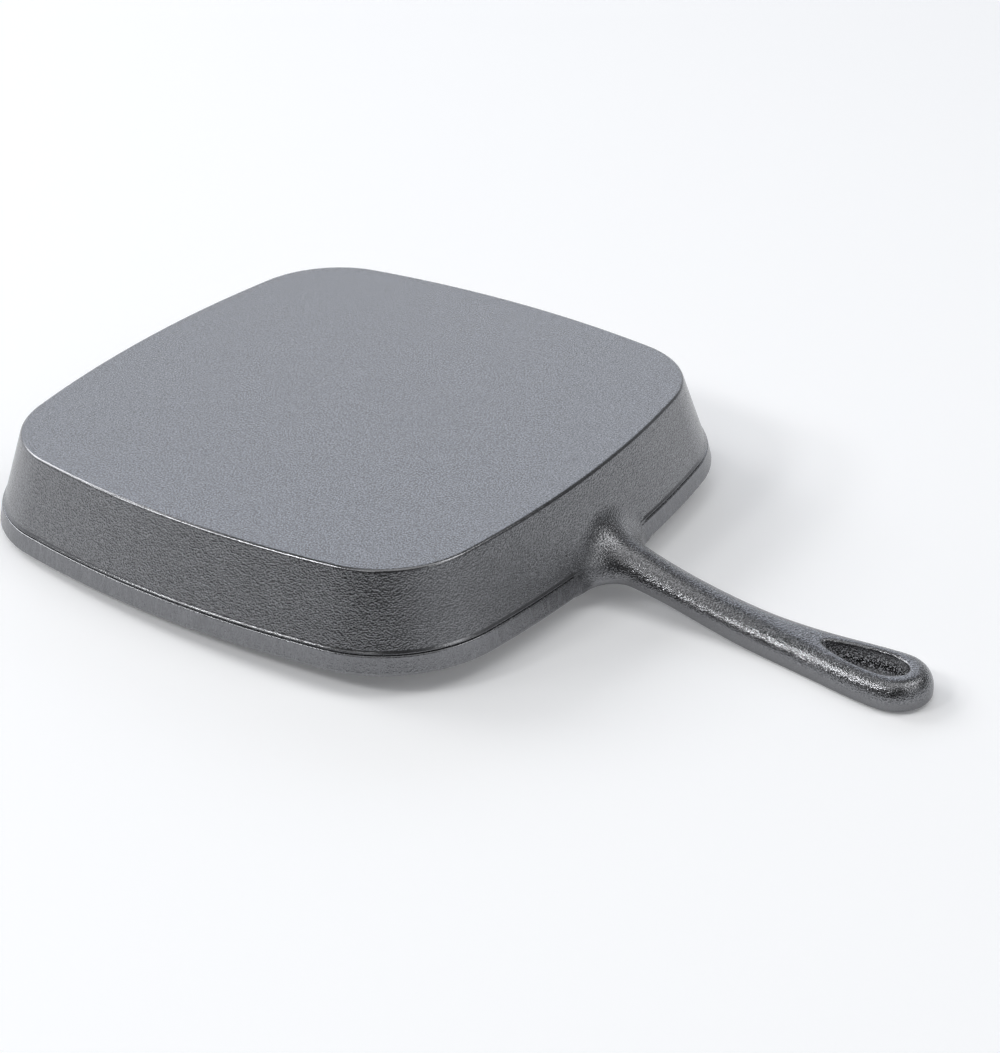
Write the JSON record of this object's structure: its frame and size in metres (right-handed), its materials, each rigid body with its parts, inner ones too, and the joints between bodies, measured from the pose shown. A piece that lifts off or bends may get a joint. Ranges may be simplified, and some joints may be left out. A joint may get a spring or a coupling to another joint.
{
  "type": "frying pan",
  "caption": "Square cast iron frying pan with rounded corners, leaning walls, a ledged rim band and a long flared handle ending in a teardrop hanging eye, lying upside down.",
  "frame": {"origin": "centre of the base's outer face, which is uppermost because the pan is pictured upside down", "axes": "+Z out of the base's outer face, +X along the handle from the pan to the tip, +Y across the handle"},
  "size_m": [0.399, 0.26, 0.0533],
  "materials": {
    "cast": "sand-cast skin, seasoned, satin",
    "ground": "ground band, faint streaks, satin"
  },
  "bodies": {
    "root": {"base_plate": "cast", "side_wall": "cast", "rim_band": "ground", "handle_root": "cast", "handle_grip": "cast", "handle_eye": "cast"}
  },
  "joints": []
}
